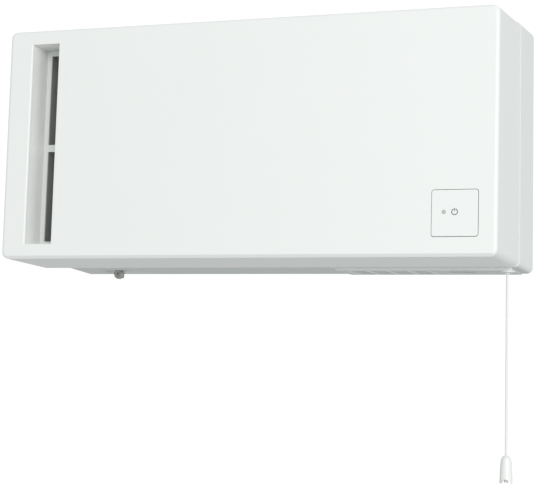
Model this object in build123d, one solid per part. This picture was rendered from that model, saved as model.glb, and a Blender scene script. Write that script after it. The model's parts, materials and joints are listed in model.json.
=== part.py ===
"""Wall-mounted ventilator with heat recovery, pull cord and hinged front cover.

Frame, in millimetres: the wall is the plane y = 0 and the room is on the -Y side.
X runs to the right as the room sees it and Z is up. The origin is the centre of the
four wall-screw slots.
"""
import math
import os

from build123d import *

os.makedirs("parts", exist_ok=True)

# ------------------------------------------------------------------ driving sizes
W = 525.3
H = 249.4
D = 168.0
SKIN = 2.5
DRAFT_SIDE = 8.0
DRAFT_BOTTOM = 5.0
DRAFT_TOP = 8.0
FACE_TILT = 6.0
COVER_DEPTH = 98.0
SEAM = 1.5
PROUD = 0.9
EDGE_R = 7.0
FACE_R = 3.6
FACE_BEVEL = 3.0

# clearances
FREE = 0.5
SLIDE = 0.3
RUN = 0.04

# the casing's left wall: how far in from the cover's left side, at the seam and at the wall
INSET_SEAM = 33.0
INSET_WALL = 24.5

SEAM_Y = -D + COVER_DEPTH
CASE_Y = SEAM_Y + SEAM
PANEL_Y = -2.0
PANEL_T = 2.5
INNER_Y = PANEL_Y - PANEL_T

# cover hinge
HINGE_Y = SEAM_Y - 6.0
HINGE_Z = H / 2 - 8.5
HINGE_X = 150.0
PIN_R = 1.6
EAR_R = 3.4
ARM_W = 6.0
EAR_W = 3.0

# air slot in the cover
SLOT_X0 = -W / 2 + 33.9
SLOT_X1 = SLOT_X0 + 29.7
SLOT_Z0 = -H / 2 + 19.8
SLOT_Z1 = H / 2 - 22.3
SLOT_DEPTH = 34.0
GUIDE_T = 2.0
WINDOW_X0 = SLOT_X0 + 4.7
WINDOW_X1 = SLOT_X1 - 3.0
WINDOW_Z0 = SLOT_Z0 + 5.4
WINDOW_Z1 = SLOT_Z1 - 5.2
BRIDGE_Z0 = -5.1
BRIDGE_Z1 = 2.3

# power button
BUTTON = 43.6
BUTTON_X = W / 2 - 47.8
BUTTON_Z = -H / 2 + 45.6
BUTTON_R = 2.2
BUTTON_GAP = 0.5
BUTTON_T = 2.4
BUTTON_TRAVEL = 1.2

# fan
FAN_X = -113.0
FAN_Z = 5.0
WHEEL_R = 58.0
WHEEL_IN_R = 47.0
BLADES = 36
SHAFT_R = 4.0
SCROLL_R0 = 64.0
SCROLL_R1 = 88.0
SCROLL_WALL = 2.0
CHANNEL_H = 36.0
CHANNEL_L = 83.0
INLET_R = 45.0
SUPPLY_Y0 = -128.5
SUPPLY_Y1 = -90.0
EXHAUST_Y0 = -50.0
EXHAUST_Y1 = INNER_Y
MOTOR_R = 38.0
MOTOR_Y0 = -87.0
MOTOR_Y1 = -57.0

# heat exchanger
CORE_X = 50.0
CORE_Z = 0.0
CORE_SIDE = 100.0
CORE_Y0 = -133.0
CORE_Y1 = -52.0
HOUSE_X0 = CORE_X - 69.0 - 7.0
HOUSE_X1 = CORE_X + 76.0
HOUSE_Y0 = -138.0
HOUSE_Y1 = -46.0
HOUSE_Z0 = -H / 2 + 15.5
HOUSE_Z1 = H / 2 - 19.5
HOUSE_WALL = 6.0

# wall pipe socket
PIPE_X = W / 2 - 75.0
PIPE_Z = 22.0
PIPE_R = 50.0
SOCKET_L = 26.0
COLLAR_WALL = 3.0

# shutter gearing: one quarter turn of the disc for one stroke of the slider
MODULE = 1.5
TEETH = 14
GEAR_R = MODULE * TEETH / 2
STROKE = GEAR_R * math.pi / 2

# pull cord
CORD_X = W / 2 - 16.3
CORD_Y = SEAM_Y + 11.0
CORD_R = 1.25
CORD_LEN = 178.0
CORD_TOP = -H / 2 - 1.0
KNOB_R = 6.3
KNOB_H = 26.5

TILT = math.degrees(math.atan2(FACE_TILT, H - DRAFT_BOTTOM - DRAFT_TOP))


# ------------------------------------------------------------------ helpers
def box(x0, x1, y0, y1, z0, z1):
    mid = Pos((x0 + x1) / 2, (y0 + y1) / 2, (z0 + z1) / 2)
    return mid * Box(abs(x1 - x0), abs(y1 - y0), abs(z1 - z0))


def rod_x(y, z, r, x0, x1):
    return Pos((x0 + x1) / 2, y, z) * Rot(0, 90, 0) * Cylinder(r, abs(x1 - x0))


def rod_y(x, z, r, y0, y1):
    return Pos(x, (y0 + y1) / 2, z) * Rot(90, 0, 0) * Cylinder(r, abs(y1 - y0))


def rod_z(x, y, r, z0, z1):
    return Pos(x, y, (z0 + z1) / 2) * Cylinder(r, abs(z1 - z0))


def tube_y(x, z, r_in, r_out, y0, y1):
    return rod_y(x, z, r_out, y0, y1) - rod_y(x, z, r_in, y0 - 1, y1 + 1)


def prism_y(points, y0, y1):
    wire = Wire.make_polygon([Vector(x, y0, z) for x, z in points], close=True)
    return extrude(Face(wire), amount=y1 - y0, dir=(0, 1, 0))


def prism_x(points, x0, x1):
    wire = Wire.make_polygon([Vector(x0, y, z) for y, z in points], close=True)
    return extrude(Face(wire), amount=x1 - x0, dir=(1, 0, 0))


def prism_z(points, z0, z1):
    wire = Wire.make_polygon([Vector(x, y, z0) for x, y in points], close=True)
    return extrude(Face(wire), amount=z1 - z0, dir=(0, 0, 1))


def hexa(back, front):
    """Solid between two four-sided rings, each listed in the same turning order."""
    quads = [back, front]
    for i in range(4):
        j = (i + 1) % 4
        quads.append([back[i], back[j], front[j], front[i]])
    faces = [Face(Wire.make_polygon([Vector(*p) for p in q], close=True)) for q in quads]
    return Solid(Shell(faces))


def merge(shapes):
    total = shapes[0]
    for shape in shapes[1:]:
        total = total + shape
    return total


def side_x(y):
    return W / 2 + DRAFT_SIDE * y / D


def bottom_z(y):
    return -H / 2 - DRAFT_BOTTOM * y / D


def top_z(y):
    return H / 2 + DRAFT_TOP * y / (D - FACE_TILT)


def face_y(z):
    return -D + FACE_TILT * (z - bottom_z(-D)) / (H - DRAFT_BOTTOM - DRAFT_TOP)


def shell_ring(y, inset, left=None):
    x0 = -side_x(y) if left is None else left
    x1 = side_x(y) - inset
    z0 = bottom_z(y) + inset
    z1 = top_z(y) - inset
    return [(x0 + inset, y, z0), (x1, y, z0), (x1, y, z1), (x0 + inset, y, z1)]


def tilted_ring(inset, front_inset):
    low = -D + front_inset
    high = -D + FACE_TILT + front_inset
    a = shell_ring(low, inset)
    b = shell_ring(high, inset)
    return [a[0], a[1], b[2], b[3]]


def depth_edges(solid):
    found = []
    for edge in solid.edges():
        way = edge.position_at(1) - edge.position_at(0)
        if abs(way.Y) > 0.9 * way.length:
            found.append(edge)
    return found


def rounded_slab(cx, cz, size_x, size_z, y0, y1, r):
    slab = box(cx - size_x / 2, cx + size_x / 2, y0, y1, cz - size_z / 2, cz + size_z / 2)
    return fillet(slab.edges().filter_by(Axis.Y), r)


def face_layer(x0, x1, depth0, depth1, z0, z1):
    """Block between two depths behind the tilted front face."""
    corners = [(face_y(z0) + depth0, z0), (face_y(z1) + depth0, z1), (face_y(z1) + depth1, z1),
               (face_y(z0) + depth1, z0)]
    return prism_x(corners, x0, x1)


def on_face(x, z, shape):
    """Places a shape drawn around the local origin on the tilted front face."""
    return Pos(x, face_y(z), z) * Rot(-TILT, 0, 0) * shape


nodes = {}


def save(name, shape):
    nodes[name] = shape
    export_step(shape, "parts/" + name + ".step")


# ------------------------------------------------------------------ front cover
whole = hexa(shell_ring(0, 0), tilted_ring(0, 0))
whole = fillet(depth_edges(whole), EDGE_R)
front_edges = [e for e in whole.edges() if e.bounding_box().max.Y < -D + FACE_TILT + 0.5]
whole = fillet(front_edges, FACE_R)

# the lower front edge is bevelled
bevel_low = bottom_z(-D)
lower_bevel = prism_x([(-D - 1, bevel_low + FACE_BEVEL + 1), (-D + FACE_BEVEL + 1, bevel_low - 1),
                       (-D - 1, bevel_low - 1)], -W, W)
whole = whole - lower_bevel

hollow = hexa(shell_ring(10, SKIN), tilted_ring(SKIN, SKIN))
hollow = fillet(depth_edges(hollow), EDGE_R - SKIN)
hollow_edges = [e for e in hollow.edges() if e.bounding_box().max.Y < -D + FACE_TILT + SKIN + 0.5]
hollow = fillet(hollow_edges, FACE_R - SKIN)

cover = whole - hollow
cover = cover & box(-W, W, -D - 5, SEAM_Y, -H, H)
# a small bevel on the rear edge of the top wall lets it pass the casing as the cover turns
bevel_z = top_z(SEAM_Y)
bevel = prism_x([(SEAM_Y - 1.6, bevel_z + 0.3), (SEAM_Y + 1, bevel_z + 0.3), (SEAM_Y + 1, bevel_z - 1.6),
                 (SEAM_Y, bevel_z - 1.6)], -W, W)
cover = cover - bevel

slot_x0 = SLOT_X0
slot_x1 = SLOT_X1
floor_back = SLOT_DEPTH + GUIDE_T
RIM_DEPTH = SKIN + 1.0
recess = face_layer(slot_x0 - 2, slot_x1 + 2, 1.0, RIM_DEPTH, SLOT_Z0 - 2, SLOT_Z1 + 2)
recess = recess & whole
opening = face_layer(slot_x0, slot_x1, -5.0, floor_back + 1, SLOT_Z0, SLOT_Z1)
cover = (cover + recess) - opening
# the slot's left edge is a soft lip, the others are crisp
lip = [e for e in cover.edges().filter_by(GeomType.LINE)
       if abs(e.center().X - slot_x0) < 0.2 and e.length > 150 and e.center().Y < face_y(0) + 1]
cover = fillet(lip, 1.9)
crisp = [e for e in cover.edges().filter_by(GeomType.LINE)
         if abs(e.center().X - slot_x1) < 0.2 and e.length > 150 and e.center().Y < face_y(0) + 1]
cover = fillet(crisp, 0.8)

guide = face_layer(slot_x0, slot_x1, SLOT_DEPTH, floor_back, SLOT_Z0, SLOT_Z1)
for low, high in ((WINDOW_Z0, BRIDGE_Z0), (BRIDGE_Z1, WINDOW_Z1)):
    guide = guide - face_layer(WINDOW_X0, WINDOW_X1, SLOT_DEPTH - 1, floor_back + 1, low, high)
save("outlet_guide", guide)
liner = face_layer(slot_x0 - 2, slot_x1 + 2, RIM_DEPTH, floor_back, SLOT_Z0 - 2, SLOT_Z1 + 2) - opening
save("slot_liner", liner)

hole = on_face(BUTTON_X + 0.15, BUTTON_Z - 0.1, rounded_slab(0, 0, BUTTON + 2 * BUTTON_GAP, BUTTON + 2 * BUTTON_GAP,
                                                -6, 6, BUTTON_R + BUTTON_GAP))
cover = cover - hole

for side in (-1, 1):
    x = side * HINGE_X
    half = ARM_W / 2 + 1.2
    cover = cover - box(x - half, x + half, HINGE_Y - EAR_R - 3.0, SEAM_Y + 1, HINGE_Z - 20, H)
    for ear_x in (x - half - EAR_W, x + half):
        ear = rod_x(HINGE_Y, HINGE_Z, EAR_R, ear_x, ear_x + EAR_W)
        root = box(ear_x, ear_x + EAR_W, HINGE_Y - EAR_R, HINGE_Y + EAR_R, HINGE_Z, top_z(HINGE_Y) - 1.0)
        cover = cover + ear + root
        cover = cover - rod_x(HINGE_Y, HINGE_Z, PIN_R + RUN, ear_x - 0.5, ear_x + EAR_W + 0.5)

# stiffening ribs inside the front wall
for rib_x in (-170.0, -90.0, -10.0, 70.0, 140.0):
    rib = prism_x([(face_y(-95) + SKIN - 0.5, -95), (face_y(100) + SKIN - 0.5, 100),
                   (face_y(100) + SKIN + 4, 100), (face_y(-95) + SKIN + 4, -95)], rib_x - 0.9, rib_x + 0.9)
    cover = cover + rib
save("front_cover", cover)

# power button, its light and mark, the carrier behind it and two leaf springs
plate = rounded_slab(0, 0, BUTTON, BUTTON, 0.2, 0.2 + BUTTON_T, BUTTON_R)
front_rim = [e for e in plate.edges() if e.bounding_box().max.Y < 0.21]
plate = fillet(front_rim, 0.6)
stem = rod_y(0, 0, 5.0, 0.2 + BUTTON_T, 10.0)
skirt = rounded_slab(0, 0, BUTTON - 8, BUTTON - 8, 0.2 + BUTTON_T, 5.0, 2.0)
skirt = skirt - rounded_slab(0, 0, BUTTON - 11, BUTTON - 11, 2.0, 6.0, 1.5)
LIGHT_U = -10.2
light = rod_y(LIGHT_U, 1.0, 2.1, 0.25, 7.0)
mark_ring = tube_y(0, 1.0, 2.35, 3.1, 0.15, 0.45) - box(-0.9, 0.9, -1, 1, 2.0, 5.0)
mark = mark_ring + box(-0.35, 0.35, 0.15, 0.45, 1.6, 4.6)
button = (plate + stem + skirt) - rod_y(LIGHT_U, 1.0, 2.1, -1, 12) - mark
save("power_button", on_face(BUTTON_X, BUTTON_Z, button))
save("status_light", on_face(BUTTON_X, BUTTON_Z, light))
save("button_mark", on_face(BUTTON_X, BUTTON_Z, mark))

carrier = rounded_slab(0, 0, BUTTON + 10, BUTTON + 10, SKIN + 1.4, SKIN + 9, 4.0)
carrier = carrier - rounded_slab(0, 0, BUTTON + 4, BUTTON + 4, SKIN - 1, SKIN + 7.4, 3.0)
carrier = carrier - rod_y(0, 0, 5.0 + FREE, 0, 20) - rod_y(LIGHT_U, 1.0, 2.1 + FREE, 0, 20)
for sx in (-1, 1):
    for sz in (-1, 1):
        post = box(sx * (BUTTON / 2 + 2), sx * (BUTTON / 2 + 5), SKIN - 0.02, SKIN + 2, sz * 12, sz * 22)
        carrier = carrier + post
save("button_carrier", on_face(BUTTON_X, BUTTON_Z, carrier))

# ------------------------------------------------------------------ rear casing
left_seam = -W / 2 + INSET_SEAM
left_wall = -W / 2 + INSET_WALL


def case_ring(y, inset):
    t = y / CASE_Y
    left = left_wall + (left_seam - left_wall) * t
    a, b, c, d = shell_ring(y, inset, left)
    # the casing's right side stands a little proud of the cover at the seam
    out = PROUD * t
    return [a, (b[0] + out, b[1], b[2]), (c[0] + out, c[1], c[2]), d]


def lap_ring(y, inset):
    return shell_ring(y, inset, left_seam)


case_outer = hexa(case_ring(0, 0), case_ring(CASE_Y, 0))
case_outer = fillet(depth_edges(case_outer), EDGE_R - 1.0)
case_inner = hexa(case_ring(INNER_Y, SKIN), case_ring(CASE_Y - 4, SKIN))
case_inner = fillet(depth_edges(case_inner), EDGE_R - 1.0 - SKIN)
rim_pocket = hexa(case_ring(PANEL_Y, SKIN), case_ring(5, SKIN))
case = case_outer - case_inner - rim_pocket

# raised pad on the underside round the intake, and its opening
PAD_X0 = 72.0
PAD_X1 = W / 2 - 11.0
GRILLE_X0 = PAD_X0 + 9.0
GRILLE_X1 = GRILLE_X0 + 88.0
GRILLE_Y0 = CASE_Y + 8.5
GRILLE_Y1 = -8.0
pad = box(PAD_X0, PAD_X1, CASE_Y + 4, -0.5, bottom_z(0) - 1.0, bottom_z(CASE_Y) + 1.0)
case = case + pad
case = case - box(GRILLE_X0, GRILLE_X1, GRILLE_Y0, GRILLE_Y1, -H / 2 - 5, -H / 2 + 8)

# recess for the lock screw, with its own roof
LOCK_X = -195.0
REC_X0 = LOCK_X - 12.0
REC_X1 = LOCK_X + 45.0
REC_Y0 = -46.0
REC_H = 9.0
cup = box(REC_X0 - SKIN, REC_X1 + SKIN, REC_Y0 - SKIN, INNER_Y + 0.5, bottom_z(0) + 2, bottom_z(0) + REC_H + SKIN)
case = case + (cup & case_outer)
case = case - box(REC_X0, REC_X1, REC_Y0, INNER_Y, -H / 2 - 5, bottom_z(0) + REC_H)
# notch in the rear edge that lets the wall plate's tab reach the lock screw
LOCK_Z = -H / 2 - 0.4
TAB_HALF = 3.2
case = case - box(LOCK_X - TAB_HALF - 0.3, LOCK_X + TAB_HALF + 0.3, INNER_Y - 1, 5, -H / 2 - 5, LOCK_Z + 4.2)

# left wing that closes the back of the cover beyond the casing
WING_Y0 = SEAM_Y - 3.0
WING_Y1 = SEAM_Y - 0.5
wing = box(-side_x(SEAM_Y) + SKIN + 1.6, left_seam + 8, WING_Y0, WING_Y1, bottom_z(SEAM_Y) + SKIN + 2.4, HOUSE_Z1)
neck = box(left_seam + 0.0, left_seam + SKIN, WING_Y0, CASE_Y + 1.5, bottom_z(SEAM_Y) + 6, HOUSE_Z1)
case = case + wing + neck

# tongue inside the cover's rear edge, on the right and below, that hides the seam
lap_root = hexa(case_ring(CASE_Y + 6, SKIN - 0.2), case_ring(CASE_Y + 2, SKIN - 0.2))
lap_tip = hexa(lap_ring(CASE_Y + 4, SKIN + 0.8), lap_ring(SEAM_Y - 3, SKIN + 0.8))
lap_hole = hexa(lap_ring(CASE_Y + 8, SKIN + 2.2), lap_ring(SEAM_Y - 5, SKIN + 2.2))
lap = fillet(depth_edges(lap_root), EDGE_R - SKIN - 1.0) + fillet(depth_edges(lap_tip), EDGE_R - SKIN - 0.8)
lap = lap - fillet(depth_edges(lap_hole), EDGE_R - SKIN - 2.0)
lap = lap - box(-W, W, -D, 0, HINGE_Z - 18, H) - box(-W, left_seam + 12, -D, 0, -H, H)
case = case + lap
# ribs under the core housing
for x in (-5.0, 60.0):
    case = case + box(x - 1.5, x + 1.5, CASE_Y + 3, HOUSE_Y1 - 1, bottom_z(CASE_Y) + 1.0, HOUSE_Z0)

# holes: pipe, cable, cord bush, shutter knob, hook slots, shelf above the intake
GROM_X = 215.0
GROM_Z = -62.0
GROM_R = 8.0
BUSH_R = 5.0
KNOB_SLOT_X0 = PIPE_X - 3.0
KNOB_Y = -39.0
shelf_z = PIPE_Z - PIPE_R - 10.0
shelf = box(HOUSE_X1 + 1.0, W / 2 - SKIN - 1.0, CASE_Y + 2, INNER_Y + 0.3, shelf_z - 1, shelf_z + 1)
case = case + shelf
case = case - rod_y(PIPE_X, PIPE_Z, PIPE_R + COLLAR_WALL, -40, 5)
case = case - rod_y(GROM_X, GROM_Z, GROM_R, -10, 5)
case = case - rod_z(CORD_X, CORD_Y, BUSH_R, -H, -H / 2 + 12)
SLIDER_W = 8.0
SLOT_PAD = 1.2
slider_x = PIPE_X + 3.0
case = case - box(slider_x - SLIDER_W / 2 - SLOT_PAD, slider_x + STROKE + SLIDER_W / 2 + SLOT_PAD,
                  KNOB_Y - 7.0, KNOB_Y + 7.0, -H, -H / 2 + 12)
case = case - box(slider_x - SLIDER_W / 2 - SLOT_PAD, slider_x + STROKE + SLIDER_W / 2 + SLOT_PAD,
                  KNOB_Y - 3.2, KNOB_Y + 3.2, shelf_z - 3, shelf_z + 3)
SCREW_X = 200.0
SCREW_Z = 90.0
SCREW_R = 2.75
for sx in (-1, 1):
    for sz in (-1, 1):
        case = case - rod_y(sx * SCREW_X, sz * SCREW_Z, 6.5, INNER_Y - 1, 5)
HOOKS = (-170.0, 0.0, 100.0)
HOOK_Z = H / 2 - 18.0
for x in HOOKS:
    case = case - box(x - 11, x + 11, INNER_Y - 1, 5, HOOK_Z - 8, HOOK_Z + 3)

# bosses and arms that carry the cover's hinge pins
for side in (-1, 1):
    x = side * HINGE_X
    arm = box(x - ARM_W / 2, x + ARM_W / 2, HINGE_Y, CASE_Y + 14, HINGE_Z - 2.4, HINGE_Z + 1.6)
    arm = arm + rod_x(HINGE_Y, HINGE_Z, EAR_R, x - ARM_W / 2, x + ARM_W / 2)
    web = prism_x([(CASE_Y + 2, HINGE_Z - 3), (CASE_Y + 30, HINGE_Z - 3), (CASE_Y + 30, top_z(CASE_Y + 30) - 1),
                   (CASE_Y + 2, top_z(CASE_Y + 2) - 1)], x - ARM_W / 2, x + ARM_W / 2)
    case = case + arm + web
    case = case - rod_x(HINGE_Y, HINGE_Z, PIN_R, x - 5, x + 5)
save("rear_casing", case)

pins = []
for side in (-1, 1):
    x = side * HINGE_X
    half = ARM_W / 2 + 1.2 + EAR_W
    pins.append(rod_x(HINGE_Y, HINGE_Z, PIN_R, x - half, x + half))
save("hinge_pins", Compound(children=pins))

CATCHES = (-60.0, 110.0)
catch_z = bottom_z(SEAM_Y) + SKIN + 2.6
catches = []
for x in CATCHES:
    block = box(x - 6, x + 6, SEAM_Y - 9, CASE_Y + 5, catch_z, catch_z + 6)
    nose = [e for e in block.edges().filter_by(Axis.X) if e.center().Y < SEAM_Y - 8]
    catches.append(fillet(nose, 2.0))
save("cover_catches", Compound(children=catches))

# ------------------------------------------------------------------ wall plate
PLATE_T = 1.2
plate_x0 = left_wall + SKIN + 3
plate_x1 = W / 2 - SKIN - 3
plate_z = H / 2 - SKIN - 4
wall_plate = box(plate_x0, plate_x1, -PLATE_T, 0, -plate_z, plate_z)
wall_plate = fillet(wall_plate.edges().filter_by(Axis.Y), 6)
wall_plate = wall_plate - rod_y(PIPE_X, PIPE_Z, PIPE_R + COLLAR_WALL + 3, -5, 5)
wall_plate = wall_plate - rod_y(GROM_X, GROM_Z, GROM_R + 2, -5, 5)
for sx in (-1, 1):
    for sz in (-1, 1):
        wall_plate = wall_plate - rod_y(sx * SCREW_X, sz * SCREW_Z, SCREW_R, -5, 5)
wall_plate = wall_plate - box(-140, 90, -5, 5, -70, 62)
for x in HOOKS:
    tab = box(x - 9, x + 9, -8.0, -PLATE_T + 0.01, HOOK_Z - 5, HOOK_Z - 5 + PLATE_T)
    tab = tab + box(x - 9, x + 9, -8.0, -8.0 + PLATE_T, HOOK_Z - 5, HOOK_Z + 1.5)
    wall_plate = wall_plate + tab
# lock tab reaching down behind the lock screw
tab = box(LOCK_X - TAB_HALF, LOCK_X + TAB_HALF, -PLATE_T, 0, LOCK_Z - 4.4, -plate_z + 8)
tab = fillet([e for e in tab.edges().filter_by(Axis.Y) if e.center().Z < LOCK_Z], 2.0)
wall_plate = wall_plate + tab
LOCK_R = 2.0
wall_plate = wall_plate - rod_y(LOCK_X, LOCK_Z, LOCK_R, -5, 5)
save("wall_plate", wall_plate)

# lock screw: notched round head facing the room
head = rod_y(LOCK_X, LOCK_Z, 5.6, -9.5, -5.5)
head = fillet([e for e in head.edges().filter_by(GeomType.CIRCLE) if e.center().Y < -9], 1.6)
for k in range(12):
    a = math.radians(30 * k)
    head = head - rod_y(LOCK_X + 5.9 * math.cos(a), LOCK_Z + 5.9 * math.sin(a), 0.8, -12, -5)
head = head - rod_y(LOCK_X, LOCK_Z, 1.3, -12, -7.6)
lock = head + rod_y(LOCK_X, LOCK_Z, LOCK_R, -6, -0.0) + rod_y(LOCK_X, LOCK_Z, 2.9, -5.6, -PLATE_T)
save("lock_screw", lock)

# ------------------------------------------------------------------ pipe socket
collar = tube_y(PIPE_X, PIPE_Z, PIPE_R, PIPE_R + COLLAR_WALL, PANEL_Y - SOCKET_L - 3, PANEL_Y)
collar = collar + tube_y(PIPE_X, PIPE_Z, PIPE_R + COLLAR_WALL - 0.5, PIPE_R + 8, INNER_Y - 2, INNER_Y)
save("duct_collar", collar)
ring = tube_y(PIPE_X, PIPE_Z, PIPE_R + 0.6, PIPE_R + COLLAR_WALL + 2.4, PANEL_Y, -0.1)
save("pipe_seal", ring)
grommet = tube_y(GROM_X, GROM_Z, 3.8, GROM_R, INNER_Y - 1.5, PANEL_Y + 1.5)
grommet = grommet + tube_y(GROM_X, GROM_Z, 3.8, GROM_R + 1.8, INNER_Y - 2.5, INNER_Y)
save("cable_grommet", grommet)

# shutter: a fixed seat and a turning disc, each with two openings, opposite each other
SEAT_Y1 = PANEL_Y - SOCKET_L - 3
SEAT_Y0 = SEAT_Y1 - 3.0


def quadrant(mid_deg, r0, r1, y0, y1, half=41.0):
    pts = []
    for k in range(13):
        a = math.radians(mid_deg - half + 2 * half * k / 12)
        pts.append((PIPE_X + r1 * math.cos(a), PIPE_Z + r1 * math.sin(a)))
    for k in range(13):
        a = math.radians(mid_deg + half - 2 * half * k / 12)
        pts.append((PIPE_X + r0 * math.cos(a), PIPE_Z + r0 * math.sin(a)))
    return prism_y(pts, y0, y1)


HUB_R = 4.0
seat = rod_y(PIPE_X, PIPE_Z, PIPE_R + 6, SEAT_Y0, SEAT_Y1)
for mid in (0, 180):
    seat = seat - quadrant(mid, 17, PIPE_R - 3, SEAT_Y0 - 1, SEAT_Y1 + 1)
DISC_Y1 = SEAT_Y0 - SLIDE
DISC_Y0 = DISC_Y1 - 2.0
GEAR_Y1 = DISC_Y0
GEAR_Y0 = GEAR_Y1 - 5.0
seat = seat + rod_y(PIPE_X, PIPE_Z, HUB_R, GEAR_Y0 - 1.5, SEAT_Y0 + 0.5)
save("shutter_seat", seat)


def involute_gear(cx, cz, teeth, m, y0, y1, thin, phase):
    base = m * teeth / 2 * math.cos(math.radians(20))
    tip = m * teeth / 2 + m
    root = m * teeth / 2 - 1.25 * m
    pitch = m * teeth / 2
    inv20 = math.tan(math.radians(20)) - math.radians(20)
    half = math.pi / (2 * teeth) - thin / (2 * pitch)
    pts = []
    for k in range(teeth):
        mid = phase + 2 * math.pi * k / teeth
        flank = []
        for j in range(7):
            r = base + (tip - base) * j / 6
            al = math.acos(min(1.0, base / r))
            off = half + inv20 - (math.tan(al) - al)
            flank.append((r, off))
        pts.append((root, mid - flank[0][1] - 0.02))
        for r, off in flank:
            pts.append((r, mid - off))
        for r, off in reversed(flank):
            pts.append((r, mid + off))
        pts.append((root, mid + flank[0][1] + 0.02))
    xz = [(cx + r * math.cos(a), cz + r * math.sin(a)) for r, a in pts]
    return prism_y(xz, y0, y1)


BACKLASH = 0.35
disc = rod_y(PIPE_X, PIPE_Z, PIPE_R + 1, DISC_Y0, DISC_Y1)
for mid in (0, 180):
    disc = disc - quadrant(mid, 17, PIPE_R - 3, DISC_Y0 - 1, DISC_Y1 + 1)
# a tooth of the hub gear points straight down at rest
gear = involute_gear(PIPE_X, PIPE_Z, TEETH, MODULE, GEAR_Y0, GEAR_Y1 + 0.2, BACKLASH, -math.pi / 2)
disc = disc + gear
disc = disc - rod_y(PIPE_X, PIPE_Z, HUB_R + RUN, DISC_Y0 - 10, DISC_Y1 + 1)
save("shutter_disc", disc)

# slider: rack under the hub gear, arm down through the casing, knob on the underside
pitch_z = PIPE_Z - GEAR_R
rack_pitch = math.pi * MODULE
rack_top = pitch_z + MODULE
rack_root = pitch_z - 1.25 * MODULE
slope = math.tan(math.radians(20))
rack = box(PIPE_X - 24, PIPE_X + 10, GEAR_Y0, GEAR_Y1 - SLIDE, rack_root - 5, rack_root)
half_w = rack_pitch / 4 - BACKLASH / 2
for k in range(-5, 2):
    # the gear's tooth stands in a rack gap, so the rack's teeth sit half a pitch to each side
    cx = PIPE_X + (k + 0.5) * rack_pitch
    if cx - 3 < PIPE_X - 24 or cx + 3 > PIPE_X + 10:
        continue
    tooth = prism_y([(cx - half_w - 1.25 * MODULE * slope, rack_root - 0.1),
                     (cx + half_w + 1.25 * MODULE * slope, rack_root - 0.1),
                     (cx + half_w - MODULE * slope, rack_top), (cx - half_w + MODULE * slope, rack_top)],
                    GEAR_Y0, GEAR_Y1 - SLIDE)
    rack = rack + tooth
ARM_Y0 = GEAR_Y0
ARM_Y1 = GEAR_Y1 - SLIDE
arm = box(slider_x - 3, slider_x + 3, ARM_Y0, ARM_Y1, -H / 2 + 1.0, rack_root - 1)
knob = box(slider_x - SLIDER_W / 2, slider_x + SLIDER_W / 2, KNOB_Y - 2.4, KNOB_Y + 2.4, -H / 2 - 1.9, -H / 2 + 2.0)
knob = fillet(knob.edges().filter_by(Axis.Y), 0.8)
slider = rack + arm + knob
save("shutter_slider", slider)

# plenum between the transfer duct and the seat's left opening
PLEN_X0 = HOUSE_X1 + 2
PLEN_Y0 = CASE_Y + 1.0
PLEN_Y1 = GEAR_Y0 - 2.0
plenum = box(PLEN_X0, PIPE_X - 2, PLEN_Y0, PLEN_Y1, PIPE_Z - 34, PIPE_Z + 50)
plenum = plenum - box(PLEN_X0 + 2, PIPE_X - 4, PLEN_Y0 + 2, PLEN_Y1 + 1, PIPE_Z - 32, PIPE_Z + 48)
plenum = plenum - box(PLEN_X0 - 1, PLEN_X0 + 3, PLEN_Y0 + 2, PLEN_Y1 + 1, PIPE_Z + 10, PIPE_Z + 48)
save("exhaust_plenum", plenum)

# ------------------------------------------------------------------ fan scrolls


def scroll_area(grow, flip, y0, y1, extra=0.0):
    s = -1.0 if flip else 1.0
    pts = []
    steps = 64
    for k in range(steps + 1):
        t = k / steps
        a = math.radians(235.0 - 325.0 * t)
        r = SCROLL_R0 + (SCROLL_R1 - SCROLL_R0) * t + grow
        pts.append((FAN_X + s * r * math.cos(a), FAN_Z + s * r * math.sin(a)))
    spiral = prism_y(pts, y0, y1)
    xa = FAN_X - s * (CHANNEL_L + extra)
    za = FAN_Z - s * (SCROLL_R1 + grow)
    zb = FAN_Z - s * (SCROLL_R1 - CHANNEL_H - grow)
    channel = box(min(xa, FAN_X), max(xa, FAN_X), y0, y1, min(za, zb), max(za, zb))
    return spiral + channel


def lid_plate(flip, y0, y1):
    plate = scroll_area(SCROLL_WALL, flip, y0, y1)
    return plate - rod_y(FAN_X, FAN_Z, INLET_R, y0 - 5, y1 + 5)


supply = scroll_area(SCROLL_WALL, False, SUPPLY_Y0, SUPPLY_Y1)
supply = supply - scroll_area(0, False, SUPPLY_Y0 - 1, SUPPLY_Y1 - 2.0, 1.0)
supply = supply - rod_y(FAN_X, FAN_Z, 9.0, SUPPLY_Y1 - 5, SUPPLY_Y1 + 5)
MOUNT_R = 31.0
for k in range(4):
    a = math.radians(45 + 90 * k)
    supply = supply - rod_y(FAN_X + MOUNT_R * math.cos(a), FAN_Z + MOUNT_R * math.sin(a), 4.0, SUPPLY_Y1 - 5,
                            SUPPLY_Y1 + 5)
save("supply_scroll", supply)
bell = tube_y(FAN_X, FAN_Z, INLET_R - 1.5, INLET_R + 0.5, SUPPLY_Y0 - 2, SUPPLY_Y0 + 1.0)
save("supply_inlet", lid_plate(False, SUPPLY_Y0 - 2, SUPPLY_Y0) + bell)

exhaust = scroll_area(SCROLL_WALL, True, EXHAUST_Y0, EXHAUST_Y1)
exhaust = exhaust - scroll_area(0, True, EXHAUST_Y0 - 1, EXHAUST_Y1 - 2.0, 1.0)
save("exhaust_scroll", exhaust)
bell = tube_y(FAN_X, FAN_Z, INLET_R - 1.5, INLET_R + 0.5, EXHAUST_Y0 - 2, EXHAUST_Y0 + 1.0)
save("exhaust_inlet", lid_plate(True, EXHAUST_Y0 - 2, EXHAUST_Y0) + bell)


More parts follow.
